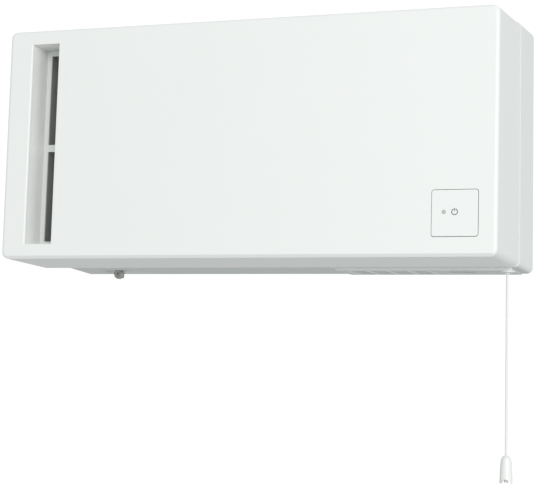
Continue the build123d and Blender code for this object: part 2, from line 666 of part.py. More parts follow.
# impellers: many short curved blades between a back plate and a front ring
def wheel(y_open, y_back):
    low, high = min(y_open, y_back), max(y_open, y_back)
    way = 1 if y_back > y_open else -1
    parts = [rod_y(FAN_X, FAN_Z, WHEEL_R, y_back - 1.6 * way, y_back)]
    parts.append(tube_y(FAN_X, FAN_Z, WHEEL_R - 4, WHEEL_R + 0.8, y_open, y_open + 1.6 * way))
    blades = []
    for k in range(BLADES):
        base = 360.0 / BLADES * k
        pts = []
        for side in (0, 1):
            steps = range(5) if side == 0 else range(4, -1, -1)
            for j in steps:
                t = j / 4
                r = WHEEL_IN_R + (WHEEL_R - 0.3 - WHEEL_IN_R) * t
                a = math.radians(base - 9.0 * t * t + (0 if side == 0 else 1.3))
                pts.append((FAN_X + r * math.cos(a), FAN_Z + r * math.sin(a)))
        blades.append(prism_y(pts, low + 0.5, high - 0.5))
    total = parts[0] + blades + parts[1]
    hub = rod_y(FAN_X, FAN_Z, 9.0, y_back - 12 * way, y_back)
    total = total + hub
    for k in range(4):
        a = math.radians(90 * k + 45)
        total = total - rod_y(FAN_X + 28 * math.cos(a), FAN_Z + 28 * math.sin(a), 7.0, low - 1, high + 1)
    return total - rod_y(FAN_X, FAN_Z, SHAFT_R, low - 20, high + 20)


SUP_WHEEL_Y0 = SUPPLY_Y0 + 3.0
SUP_WHEEL_Y1 = SUPPLY_Y1 - 5.0
EXH_WHEEL_Y0 = EXHAUST_Y0 + 3.0
EXH_WHEEL_Y1 = EXHAUST_Y1 - 5.0
save("supply_impeller", wheel(SUP_WHEEL_Y0, SUP_WHEEL_Y1))
save("exhaust_impeller", wheel(EXH_WHEEL_Y0, EXH_WHEEL_Y1))
shaft_y0 = SUP_WHEEL_Y1 - 21.0
shaft_y1 = EXH_WHEEL_Y1 + 1.5
shaft = rod_y(FAN_X, FAN_Z, SHAFT_R, shaft_y0, shaft_y1)
save("motor_shaft", shaft)
nut = prism_y([(FAN_X + 6.5 * math.cos(math.radians(60 * k)), FAN_Z + 6.5 * math.sin(math.radians(60 * k)))
               for k in range(6)], SUP_WHEEL_Y1 - 17, SUP_WHEEL_Y1 - 12)
nut = nut - rod_y(FAN_X, FAN_Z, SHAFT_R, -200, 0)
nut2 = prism_y([(FAN_X + 6.5 * math.cos(math.radians(60 * k)), FAN_Z + 6.5 * math.sin(math.radians(60 * k)))
                for k in range(6)], EXH_WHEEL_Y1 - 17, EXH_WHEEL_Y1 - 12)
nut2 = nut2 - rod_y(FAN_X, FAN_Z, SHAFT_R, -200, 0)
save("impeller_nuts", Compound(children=[nut, nut2]))

# ------------------------------------------------------------------ motor
MOTOR_MID = (MOTOR_Y0 + MOTOR_Y1) / 2
BEAR_R = 11.0
BEAR_T = 6.0
front_shell = rod_y(FAN_X, FAN_Z, MOTOR_R, MOTOR_Y0, MOTOR_MID)
front_shell = front_shell - rod_y(FAN_X, FAN_Z, MOTOR_R - 2, MOTOR_Y0 + 2, MOTOR_MID + 1)
front_shell = front_shell + rod_y(FAN_X, FAN_Z, BEAR_R + 2, MOTOR_Y0, MOTOR_Y0 + BEAR_T)
front_shell = front_shell - rod_y(FAN_X, FAN_Z, BEAR_R, MOTOR_Y0 + 1, MOTOR_Y0 + BEAR_T + 1)
front_shell = front_shell - rod_y(FAN_X, FAN_Z, SHAFT_R + 1, MOTOR_Y0 - 1, MOTOR_Y0 + 2)
rear_shell = rod_y(FAN_X, FAN_Z, MOTOR_R, MOTOR_MID, MOTOR_Y1)
rear_shell = rear_shell - rod_y(FAN_X, FAN_Z, MOTOR_R - 2, MOTOR_MID - 1, MOTOR_Y1 - 2)
rear_shell = rear_shell + rod_y(FAN_X, FAN_Z, BEAR_R + 2, MOTOR_Y1 - BEAR_T, MOTOR_Y1)
rear_shell = rear_shell - rod_y(FAN_X, FAN_Z, BEAR_R, MOTOR_Y1 - BEAR_T - 1, MOTOR_Y1 - 1)
rear_shell = rear_shell - rod_y(FAN_X, FAN_Z, SHAFT_R + 1, MOTOR_Y1 - 2, MOTOR_Y1 + 1)
for k in range(8):
    a = math.radians(45 * k + 22.5)
    vent = rod_y(FAN_X + 24 * math.cos(a), FAN_Z + 24 * math.sin(a), 3.5, MOTOR_Y1 - 3, MOTOR_Y1 + 1)
    rear_shell = rear_shell - vent
save("motor_rear_shell", rear_shell)
for k in range(4):
    a = math.radians(45 + 90 * k)
    x, z = FAN_X + MOUNT_R * math.cos(a), FAN_Z + MOUNT_R * math.sin(a)
    front_shell = front_shell - rod_y(x, z, 2.0, MOTOR_Y0 - 1, MOTOR_Y0 + 3)
save("motor_front_shell", front_shell)
bearings = []
for y0, y1 in ((MOTOR_Y0 + 1, MOTOR_Y0 + BEAR_T), (MOTOR_Y1 - BEAR_T, MOTOR_Y1 - 1)):
    bearings.append(tube_y(FAN_X, FAN_Z, SHAFT_R + RUN, BEAR_R, y0, y1))
save("motor_bearings", Compound(children=bearings))

ROTOR_R = 20.0
rotor = tube_y(FAN_X, FAN_Z, SHAFT_R, ROTOR_R, MOTOR_MID - 8, MOTOR_MID + 8)
save("motor_rotor", rotor)
stator = tube_y(FAN_X, FAN_Z, ROTOR_R + 0.8, MOTOR_R - 2, MOTOR_MID - 7, MOTOR_MID + 7)
SLOTS = 12
for k in range(SLOTS):
    a = math.radians(360 / SLOTS * k)
    stator = stator - rod_y(FAN_X + 26.5 * math.cos(a), FAN_Z + 26.5 * math.sin(a), 3.6, -200, 0)
save("motor_stator", stator)
coils = []
for k in range(SLOTS):
    a = math.radians(360 / SLOTS * k)
    coils.append(rod_y(FAN_X + 26.5 * math.cos(a), FAN_Z + 26.5 * math.sin(a), 3.4, MOTOR_MID - 9.5,
                       MOTOR_MID + 9.5))
save("motor_windings", Compound(children=coils))
mounts = []
screws = []
for k in range(4):
    a = math.radians(45 + 90 * k)
    x, z = FAN_X + MOUNT_R * math.cos(a), FAN_Z + MOUNT_R * math.sin(a)
    rubber = rod_y(x, z, 4.0, SUPPLY_Y1 - 2.0, SUPPLY_Y1)
    rubber = rubber + rod_y(x, z, 6.0, SUPPLY_Y1, MOTOR_Y0)
    rubber = rubber + rod_y(x, z, 6.0, SUPPLY_Y1 - 3.0, SUPPLY_Y1 - 2.0)
    mounts.append(rubber - rod_y(x, z, 2.0, -200, 0))
    screw = rod_y(x, z, 2.0, SUPPLY_Y1 - 3.0, MOTOR_Y0 + 2)
    screw = screw + rod_y(x, z, 3.6, SUPPLY_Y1 - 4.2, SUPPLY_Y1 - 3.0)
    screws.append(screw)
save("motor_mounts", Compound(children=mounts))
save("motor_screws", Compound(children=screws))

# partition round the motor, on four posts from the casing's back
frame_x0 = FAN_X - CHANNEL_L
frame_x1 = HOUSE_X0 - 1.5
fan_frame = box(frame_x0, frame_x1, SUPPLY_Y1, SUPPLY_Y1 + 2, FAN_Z - SCROLL_R1 - 4, HOUSE_Z1 - 2)
fan_frame = fillet(fan_frame.edges().filter_by(Axis.Y), 5)
fan_frame = fan_frame - rod_y(FAN_X, FAN_Z, MOTOR_R + 2, SUPPLY_Y1 - 5, SUPPLY_Y1 + 5)
POSTS = ((FAN_X - 69, FAN_Z - 85), (FAN_X + 74, FAN_Z - 85), (FAN_X - 69, FAN_Z + 85), (FAN_X + 74, FAN_Z + 96.5))
for x, z in POSTS:
    fan_frame = fan_frame + rod_y(x, z, 3.6, SUPPLY_Y1 + 1, INNER_Y)
save("fan_frame", fan_frame)

# ------------------------------------------------------------------ outlet duct (dark foam)
OUT_X0 = SLOT_X0 - 1.0
OUT_X1 = FAN_X - CHANNEL_L
OUT_GAP = SLOT_DEPTH + GUIDE_T + 1.0
OUT_Z0 = SLOT_Z0 - 2.0
OUT_Z1 = SLOT_Z1 - 1.5
out = prism_x([(face_y(OUT_Z0) + OUT_GAP, OUT_Z0), (face_y(OUT_Z1) + OUT_GAP, OUT_Z1), (WING_Y0, OUT_Z1),
               (WING_Y0, OUT_Z0)], OUT_X0, OUT_X1)
out = out - box(OUT_X0 + 3, OUT_X1 - 3, -D, WING_Y0 - 12, OUT_Z0 + 3, OUT_Z1 - 3)
out = out - box(OUT_X1 - 4, OUT_X1 + 1, SUPPLY_Y0, SUPPLY_Y1 - 2, FAN_Z - SCROLL_R1, FAN_Z - SCROLL_R1 + CHANNEL_H)
save("outlet_duct", out)

# ------------------------------------------------------------------ core and its foam housing
HALF_DIAG = CORE_SIDE / math.sqrt(2)


def diamond(half, y0, y1):
    pts = [(CORE_X - half, CORE_Z), (CORE_X, CORE_Z - half), (CORE_X + half, CORE_Z), (CORE_X, CORE_Z + half)]
    return prism_y(pts, y0, y1)


core = diamond(HALF_DIAG - 2.0, CORE_Y0, CORE_Y1)
grooves = []
pitch = 5.0
count = int((CORE_Y1 - CORE_Y0 - 4) / pitch)
for k in range(count):
    y = CORE_Y0 + 3 + pitch * k
    groove = diamond(HALF_DIAG + 3, y, y + 1.6) - diamond(HALF_DIAG - 5.0, y - 1, y + 3)
    keep = diamond(HALF_DIAG + 3, y - 1, y + 3)
    for dx, dz in ((1, 0), (-1, 0), (0, 1), (0, -1)):
        cx, cz = CORE_X + dx * HALF_DIAG, CORE_Z + dz * HALF_DIAG
        keep = keep - box(cx - 9, cx + 9, y - 2, y + 4, cz - 9, cz + 9)
    grooves.append(groove & keep)
core = core - grooves
save("exchanger_core", core)
caps = [diamond(HALF_DIAG - 1.0, CORE_Y0 - 3.0, CORE_Y0), diamond(HALF_DIAG - 1.0, CORE_Y1, CORE_Y1 + 2.0)]
save("core_end_caps", Compound(children=caps))
strap = box(CORE_X - 26, CORE_X + 26, CORE_Y0 - 7.5, CORE_Y0 - 6.0, CORE_Z - 7, CORE_Z + 7)
strap = fillet(strap.edges().filter_by(Axis.Y), 3)
for sx in (-1, 1):
    strap = strap + box(CORE_X + sx * 20, CORE_X + sx * 26, CORE_Y0 - 7.0, CORE_Y0 - 3.0, CORE_Z - 7, CORE_Z + 7)
save("core_strap", strap)

house = box(HOUSE_X0, HOUSE_X1, HOUSE_Y0, HOUSE_Y1, HOUSE_Z0, HOUSE_Z1)
house = fillet(house.edges().filter_by(Axis.Y), 6)
chamber = box(HOUSE_X0 + HOUSE_WALL, HOUSE_X1 - HOUSE_WALL, HOUSE_Y0 + 5, HOUSE_Y1 - 4, HOUSE_Z0 + HOUSE_WALL,
              HOUSE_Z1 - HOUSE_WALL)
# rails along the core's four corners, each with a groove the core slides in
rails = []
for dx, dz in ((1, 0), (-1, 0), (0, 1), (0, -1)):
    cx, cz = CORE_X + dx * HALF_DIAG, CORE_Z + dz * HALF_DIAG
    if dx:
        reach = box(min(cx - dx * 8, cx + dx * 12), max(cx - dx * 8, cx + dx * 12), HOUSE_Y0 + 4, HOUSE_Y1 - 3,
                    cz - 8, cz + 8)
    else:
        reach = box(cx - 8, cx + 8, HOUSE_Y0 + 4, HOUSE_Y1 - 3, min(cz - dz * 8, cz + dz * 40),
                    max(cz - dz * 8, cz + dz * 40))
    rails.append(reach)
rail = merge(rails) & box(HOUSE_X0 + 1, HOUSE_X1 - 1, HOUSE_Y0 + 1, HOUSE_Y1 - 1, HOUSE_Z0 + 1, HOUSE_Z1 - 1)
house = (house - chamber) + rail
house = house - diamond(HALF_DIAG - 1.0, HOUSE_Y0 - 5, CORE_Y1 + 2.0)
# air passages: left top and front left bottom to the fans, right side from the filters, bottom from the intake
house = house - box(HOUSE_X0 - 1, HOUSE_X0 + HOUSE_WALL + 1, -86, -54, 22, HOUSE_Z1 - 12)
house = house - box(HOUSE_X0 + 12, CORE_X - 16, HOUSE_Y0 - 1, HOUSE_Y0 + 6, HOUSE_Z0 + 12, HOUSE_Z0 + 44)
house = house - box(HOUSE_X1 - HOUSE_WALL - 1, HOUSE_X1 + 1, -128, -56, 20, HOUSE_Z1 - 12)
house = house - box(HOUSE_X1 - HOUSE_WALL - 1, HOUSE_X1 + 1, -90, -54, HOUSE_Z0 + 12, -24)
save("core_housing", house)

filter_frame = box(HOUSE_X1, HOUSE_X1 + 6, -132, CASE_Y - 2, 14, HOUSE_Z1 - 6)
filter_frame = filter_frame - box(HOUSE_X1 - 1, HOUSE_X1 + 7, -129, CASE_Y - 5, 17, HOUSE_Z1 - 9)
for z in (40.0, 66.0):
    filter_frame = filter_frame + box(HOUSE_X1 + 4, HOUSE_X1 + 6, -130, CASE_Y - 4, z - 1, z + 1)
save("outdoor_filter_frame", filter_frame)
save("outdoor_filter_pad", box(HOUSE_X1 + 0.5, HOUSE_X1 + 4, -129, CASE_Y - 5, 17, HOUSE_Z1 - 9))

# transfer duct behind the core, from the exhaust scroll to the plenum
DUCT_X0 = FAN_X + CHANNEL_L
duct_pts = [(DUCT_X0, FAN_Z + SCROLL_R1 - CHANNEL_H - 2), (PLEN_X0, FAN_Z + SCROLL_R1 - CHANNEL_H - 20),
            (PLEN_X0, FAN_Z + SCROLL_R1 - 22), (DUCT_X0, FAN_Z + SCROLL_R1 + 2)]
duct_in = [(DUCT_X0 - 1, FAN_Z + SCROLL_R1 - CHANNEL_H), (PLEN_X0 + 1, FAN_Z + SCROLL_R1 - CHANNEL_H - 18.4),
           (PLEN_X0 + 1, FAN_Z + SCROLL_R1 - 24.4), (DUCT_X0 - 1, FAN_Z + SCROLL_R1)]
DUCT_Y0 = HOUSE_Y1
duct = prism_y(duct_pts, DUCT_Y0, EXHAUST_Y1)
duct = duct - prism_y(duct_in, DUCT_Y0 + 2, EXHAUST_Y1 - 2)
save("transfer_duct", duct)

# ------------------------------------------------------------------ intake
GRILLE_T = 3.0
gz = bottom_z(0) - 1.0
grille = box(GRILLE_X0 + SLIDE, GRILLE_X1 - SLIDE, GRILLE_Y0 + SLIDE, GRILLE_Y1 - SLIDE, gz, gz + GRILLE_T)
cols = 4
rows = 3
step_x = (GRILLE_X1 - GRILLE_X0 - 4) / cols
step_y = (GRILLE_Y1 - GRILLE_Y0 - 4) / rows
for i in range(cols):
    for j in range(rows):
        cx = GRILLE_X0 + 2 + step_x * (i + 0.5)
        cy = GRILLE_Y0 + 2 + step_y * (j + 0.5)
        bar = box(cx - step_x / 2 + 2.0, cx + step_x / 2 - 2.0, cy - step_y / 2 + 1.6, cy + step_y / 2 - 1.6,
                  gz - 1, gz + GRILLE_T + 1)
        grille = grille - bar
save("intake_grille", grille)
fz = bottom_z(CASE_Y) + SKIN + 0.2
room = box(GRILLE_X0 - 3, GRILLE_X1 + 3, GRILLE_Y0 - 2, GRILLE_Y1 + 2, fz, fz + 5.5)
room = room - box(GRILLE_X0, GRILLE_X1, GRILLE_Y0 + 1, GRILLE_Y1 - 1, fz - 1, fz + 7)
mid_x = (GRILLE_X0 + GRILLE_X1) / 2
room = room + box(mid_x - 1, mid_x + 1, GRILLE_Y0, GRILLE_Y1, fz, fz + 1.5)
save("room_filter_frame", room)
save("room_filter_mesh", box(GRILLE_X0, GRILLE_X1, GRILLE_Y0 + 1, GRILLE_Y1 - 1, fz + 2.0, fz + 3.0))

# ------------------------------------------------------------------ electrics
BOX_X0 = HOUSE_X1 + 12
BOX_X1 = W / 2 - 15
BOX_Y0 = -146.0
BOX_Y1 = -106.0
BOX_Z0 = BUTTON_Z - 21.0
BOX_Z1 = BUTTON_Z + 62.0
control = box(BOX_X0, BOX_X1, BOX_Y0, BOX_Y1, BOX_Z0, BOX_Z1)
control = fillet(control.edges().filter_by(Axis.Y), 4)
control = control - box(BOX_X0 + 2, BOX_X1 - 2, BOX_Y0 - 1, BOX_Y1 - 2, BOX_Z0 + 2, BOX_Z1 - 2)
# leg that carries the box on the casing's shelf
control = control + box(BOX_X0 + 6, BOX_X1 - 30, BOX_Y1 - 1, CASE_Y + 8, shelf_z + 1, shelf_z + 4)
save("control_box", control)
lid = box(BOX_X0, BOX_X1, BOX_Y0 - 2, BOX_Y0, BOX_Z0, BOX_Z1)
lid = fillet(lid.edges().filter_by(Axis.Y), 4)
lid = lid - rod_y(BUTTON_X, BUTTON_Z, 6.5, BOX_Y0 - 5, BOX_Y0 + 5)
lid = lid - rod_y(BUTTON_X + LIGHT_U, BUTTON_Z + 1, 3.0, BOX_Y0 - 5, BOX_Y0 + 5)
for z in (BOX_Z0 + 44, BOX_Z0 + 51, BOX_Z0 + 58, BOX_Z0 + 65, BOX_Z0 + 72):
    lid = lid - box(BOX_X0 + 20, BOX_X1 - 30, BOX_Y0 - 5, BOX_Y0 + 5, z - 1.2, z + 1.2)
save("control_lid", lid)
BOARD_Y = BOX_Y0 + 16
board = box(BOX_X0 + 4, BOX_X1 - 4, BOARD_Y, BOARD_Y + 1.6, BOX_Z0 + 4, BOX_Z1 - 4)
switch = box(BUTTON_X - 3.2, BUTTON_X + 3.2, BOARD_Y - 6.0, BOARD_Y, BUTTON_Z - 3.2, BUTTON_Z + 3.2)
switch = switch + rod_y(BUTTON_X, BUTTON_Z, 1.8, BOARD_Y - 8.0, BOARD_Y - 5.5)
save("button_switch", switch)
lamp = rod_y(BUTTON_X + LIGHT_U, BUTTON_Z + 1, 1.5, BOARD_Y - 5.5, BOARD_Y)
relay = box(BOX_X0 + 48, BOX_X0 + 64, BOARD_Y - 12, BOARD_Y, BOX_Z0 + 38, BOX_Z0 + 50)
save("circuit_board", board + lamp + relay)
trans = box(BOX_X0 + 10, BOX_X0 + 40, BOARD_Y - 12, BOARD_Y, BOX_Z1 - 38, BOX_Z1 - 10)
trans = trans + box(BOX_X0 + 14, BOX_X0 + 36, BOARD_Y - 14, BOARD_Y - 1, BOX_Z1 - 34, BOX_Z1 - 14)
save("transformer", trans)
save("capacitor", rod_x(BOARD_Y - 7.5, BOX_Z1 - 18, 7.0, BOX_X0 + 48, BOX_X0 + 80))

TERM_X = GROM_X - 52
TERM_Z = GROM_Z - 26
term = box(TERM_X - 20, TERM_X + 16, INNER_Y - 18, INNER_Y, TERM_Z - 8, TERM_Z + 8)
for k in range(3):
    x = TERM_X - 14 + 12 * k
    term = term - rod_y(x, TERM_Z, 2.6, INNER_Y - 20, INNER_Y - 10)
    term = term - rod_z(x, INNER_Y - 7, 1.8, TERM_Z - 10, TERM_Z + 10)
save("terminal_block", term)
heads = []
for k in range(3):
    x = TERM_X - 14 + 12 * k
    heads.append(rod_y(x, TERM_Z, 2.5, INNER_Y - 14, INNER_Y - 10) - box(x - 3, x + 3, -30, INNER_Y - 13, TERM_Z - 0.4,
                                                                         TERM_Z + 0.4))
save("terminal_screws", Compound(children=heads))

# pull switch, bush, plunger and spring
SW_Z0 = -H / 2 + 12.0
SW_Z1 = SW_Z0 + 34.0
PL_R = 3.0
BALL_R = 1.9
BALL_UP = 2.4
SWING = 12.0
sw_half = 10.5
# the switch stands clear of the casing's tongue
sw_x1 = side_x(CASE_Y) - SKIN - 2.2 - FREE
pull = box(CORD_X - sw_half, sw_x1, CORD_Y - 9, CORD_Y + 13, SW_Z0, SW_Z1)
pull = fillet(pull.edges().filter_by(Axis.Z), 2.0)
pull = pull - rod_z(CORD_X, CORD_Y, 5.5, SW_Z0 + 3, SW_Z1 - 2)
pull = pull - rod_z(CORD_X, CORD_Y, PL_R + SLIDE, SW_Z0 - 1, SW_Z0 + 5)
save("pull_switch", pull)
bush = rod_z(CORD_X, CORD_Y, BUSH_R, -H / 2 - 1.6, SW_Z0)
bush = bush + rod_z(CORD_X, CORD_Y, BUSH_R + 2.0, -H / 2 - 1.6 - 1.0, -H / 2 - 1.6 + 0.6)
bush = bush - rod_z(CORD_X, CORD_Y, PL_R + SLIDE, -H, 0)
PULL = 9.0
plunger = rod_z(CORD_X, CORD_Y, PL_R, CORD_TOP - 3.0, SW_Z1 - 12)
plunger = plunger + rod_z(CORD_X, CORD_Y, 5.0, SW_Z1 - 12, SW_Z1 - 9)
# the cord hangs by a ball in the plunger's socket, and swings in the cone below it
cord_top = CORD_TOP - 3.0
ball_z = cord_top + BALL_UP
cone_low = CORD_R + (BALL_UP + 1.0) * math.tan(math.radians(SWING)) + 0.18
cone_high = CORD_R + 0.18
plunger = plunger - Pos(CORD_X, CORD_Y, ball_z) * Sphere(BALL_R + 0.08)
plunger = plunger - Pos(CORD_X, CORD_Y, ball_z - (BALL_UP + 1.0) / 2) * Cone(cone_low, cone_high, BALL_UP + 1.0)
save("cord_bush", bush)
save("pull_plunger", plunger)
coil_z0 = SW_Z0 + 3.0
coil_z1 = SW_Z1 - 12.0
helix = Pos(CORD_X, CORD_Y, coil_z0 + 0.5) * Helix(pitch=(coil_z1 - coil_z0 - 1.0) / 4, height=coil_z1 - coil_z0 - 1.0,
                                                   radius=4.0)
start = helix.position_at(0)
section = Plane(origin=start, z_dir=helix.tangent_at(0)) * Circle(0.45)
spring = sweep(section, path=helix)
save("pull_spring", spring)

cord = rod_z(CORD_X, CORD_Y, CORD_R, cord_top - CORD_LEN, ball_z)
cord = cord + Pos(CORD_X, CORD_Y, ball_z) * Sphere(BALL_R)
save("pull_cord", cord)
knob_top = cord_top - CORD_LEN
profile = [(0, knob_top), (2.4, knob_top), (3.2, knob_top - 0.5), (4.1, knob_top - 1.6), (4.8, knob_top - 3.4),
           (KNOB_R - 1.0, knob_top - 6.0), (KNOB_R - 0.6, knob_top - 11), (KNOB_R, knob_top - KNOB_H + 2.0),
           (KNOB_R - 0.3, knob_top - KNOB_H), (KNOB_R - 1.5, knob_top - KNOB_H),
           (KNOB_R - 1.8, knob_top - KNOB_H + 9.0), (0, knob_top - KNOB_H + 10.0)]
knob_face = Face(Wire.make_polygon([Vector(r, 0, z) for r, z in profile], close=True))
knob_solid = revolve(knob_face, Axis.Z, 360)
# an arch in the lower rim at the front and at the back, and a stud inside the hollow
rim_z = knob_top - KNOB_H
knob_solid = knob_solid - rod_y(0, rim_z - 0.6, 4.6, -KNOB_R - 2, KNOB_R + 2)
knob_solid = knob_solid + rod_z(0, 0, 2.0, rim_z + 0.6, rim_z + 12)
save("pull_knob", Pos(CORD_X, CORD_Y, 0) * knob_solid)

print(len(nodes), "nodes")
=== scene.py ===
import json
import math

import bmesh
import bpy
from mathutils import Matrix, Vector


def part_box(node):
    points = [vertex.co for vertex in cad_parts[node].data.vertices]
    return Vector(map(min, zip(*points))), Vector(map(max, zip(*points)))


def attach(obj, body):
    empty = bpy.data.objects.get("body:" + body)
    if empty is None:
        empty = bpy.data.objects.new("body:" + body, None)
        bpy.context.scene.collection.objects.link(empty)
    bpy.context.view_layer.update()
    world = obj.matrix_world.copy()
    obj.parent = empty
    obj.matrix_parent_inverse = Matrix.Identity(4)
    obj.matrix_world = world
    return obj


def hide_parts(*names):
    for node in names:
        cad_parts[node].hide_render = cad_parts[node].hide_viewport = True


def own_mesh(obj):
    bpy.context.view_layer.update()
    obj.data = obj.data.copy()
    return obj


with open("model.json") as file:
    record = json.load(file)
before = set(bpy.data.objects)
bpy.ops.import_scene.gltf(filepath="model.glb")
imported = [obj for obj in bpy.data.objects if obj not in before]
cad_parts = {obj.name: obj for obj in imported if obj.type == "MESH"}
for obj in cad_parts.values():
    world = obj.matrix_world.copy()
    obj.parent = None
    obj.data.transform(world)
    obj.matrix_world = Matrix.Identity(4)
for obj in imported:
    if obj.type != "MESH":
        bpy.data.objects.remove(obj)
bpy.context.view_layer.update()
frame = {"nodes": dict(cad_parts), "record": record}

scene = bpy.context.scene
scene.view_settings.view_transform = "Standard"
nodes = frame["nodes"]
slot_of = {part["node"]: part["material_slot"] for part in frame["record"]["subparts"]}


def link(obj):
    scene.collection.objects.link(obj)
    return obj


# ---------------------------------------------------------------- camera
YAW = math.radians(18.5447)
PITCH = math.radians(4.7999)
ROLL = math.radians(1.1466)
ahead = Vector((-math.sin(YAW) * math.cos(PITCH), math.cos(YAW) * math.cos(PITCH), math.sin(PITCH)))
level = Vector((math.cos(YAW), math.sin(YAW), 0.0))
upward = level.cross(ahead)
right = level * math.cos(ROLL) + upward * math.sin(ROLL)
up = upward * math.cos(ROLL) - level * math.sin(ROLL)
CAMERA_AT = (0.48215, -1.49892, -0.22329)
FOCAL_MM = 97.608
SENSOR_MM = 36.0
lens = bpy.data.cameras.new("camera")
lens.sensor_width = SENSOR_MM
lens.lens = FOCAL_MM
lens.clip_start = 0.05
lens.clip_end = 60.0
camera = link(bpy.data.objects.new("camera", lens))
camera.matrix_world = Matrix((
    (right.x, up.x, -ahead.x, CAMERA_AT[0]),
    (right.y, up.y, -ahead.y, CAMERA_AT[1]),
    (right.z, up.z, -ahead.z, CAMERA_AT[2]),
    (0.0, 0.0, 0.0, 1.0),
))
scene.camera = camera


# ---------------------------------------------------------------- pull cord
def spline_line(name, points):
    """The line of a smooth spline through its control points, as a list of points."""
    data = bpy.data.curves.new(name, "CURVE")
    data.dimensions = "3D"
    spline = data.splines.new("NURBS")
    spline.points.add(len(points) - 1)
    for point, place in zip(spline.points, points):
        point.co = (*place, 1.0)
    spline.order_u = 3
    spline.use_endpoint_u = True
    data.resolution_u = 40
    obj = link(bpy.data.objects.new(name, data))
    bpy.context.view_layer.update()
    mesh = bpy.data.meshes.new_from_object(obj.evaluated_get(bpy.context.evaluated_depsgraph_get()))
    line = [vertex.co.copy() for vertex in mesh.vertices]
    bpy.data.meshes.remove(mesh)
    bpy.data.objects.remove(obj)
    return line


def along(line, step):
    """Points of a line, evenly spaced."""
    lengths = [0.0]
    for a, b in zip(line, line[1:]):
        lengths.append(lengths[-1] + (b - a).length)
    count = max(2, round(lengths[-1] / step))
    out = []
    k = 0
    for i in range(count + 1):
        want = lengths[-1] * i / count
        while k < len(line) - 2 and lengths[k + 1] < want:
            k += 1
        part = (want - lengths[k]) / max(lengths[k + 1] - lengths[k], 1e-9)
        out.append(line[k].lerp(line[k + 1], part))
    return out


def braided_tube(name, line, radius, relief, carriers, pitch, around):
    """A round braid along a line: two sets of yarns that cross over and under each other."""
    mesh = bmesh.new()
    uv = mesh.loops.layers.uv.new("along")
    rings = []
    gone = 0.0
    for i, point in enumerate(line):
        before = line[max(i - 1, 0)]
        after = line[min(i + 1, len(line) - 1)]
        way = (after - before).normalized()
        side = way.cross(Vector((0.0, 1.0, 0.0))).normalized()
        other = way.cross(side)
        gone += (point - line[i - 1]).length if i else 0.0
        ring = []
        for k in range(around):
            angle = 2 * math.pi * k / around
            turn = 2 * math.pi * gone / pitch
            one = math.cos(carriers / 2 * (angle + turn))
            two = math.cos(carriers / 2 * (angle - turn))
            over = 0.5 + 0.5 * math.sin(carriers / 2 * angle) * math.sin(carriers / 2 * turn)
            height = max(abs(one) * over, abs(two) * (1 - over))
            r = radius - relief * (1 - min(1.0, 1.35 * height))
            ring.append(mesh.verts.new(point + (side * math.cos(angle) + other * math.sin(angle)) * r))
        rings.append((ring, gone))
    for (a, s0), (b, s1) in zip(rings, rings[1:]):
        for k in range(around):
            n = (k + 1) % around
            face = mesh.faces.new((a[k], a[n], b[n], b[k]))
            face.smooth = True
            for loop, place in zip(face.loops, ((k, s0), (k + 1, s0), (k + 1, s1), (k, s1))):
                loop[uv].uv = (place[0] / around, place[1] / pitch)
    mesh.faces.new(list(reversed(rings[0][0])))
    mesh.faces.new(rings[-1][0])
    data = bpy.data.meshes.new(name)
    mesh.to_mesh(data)
    mesh.free()
    return link(bpy.data.objects.new(name, data))


CORD = (0.24635, -0.059)
CORD_DIAMETER = 0.0025
CORD_STEP = 0.00035
YARN_RELIEF = 0.00016
YARN_CARRIERS = 8
YARN_PITCH = 0.0072
CORD_SIDES = 48
CORD_ROUTE = [
    (*CORD, -0.1267),
    (*CORD, -0.1437),
    (*CORD, -0.2917),
    (*CORD, -0.3067),
]
cord_line = along(spline_line("cord_route", CORD_ROUTE), CORD_STEP)
cord = braided_tube("braided_pull_cord", cord_line, CORD_DIAMETER / 2, YARN_RELIEF, YARN_CARRIERS,
                    YARN_PITCH, CORD_SIDES)
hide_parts("pull_cord")
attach(cord, "cord")

# return spring: a copy of the pull spring, fixed to the housing; on the real unit it shortens between its
# seat and the plunger's flange as the cord is pulled
spring = link(bpy.data.objects.new("return_spring", nodes["pull_spring"].data.copy()))
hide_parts("pull_spring")
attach(spring, "housing")
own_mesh(spring)


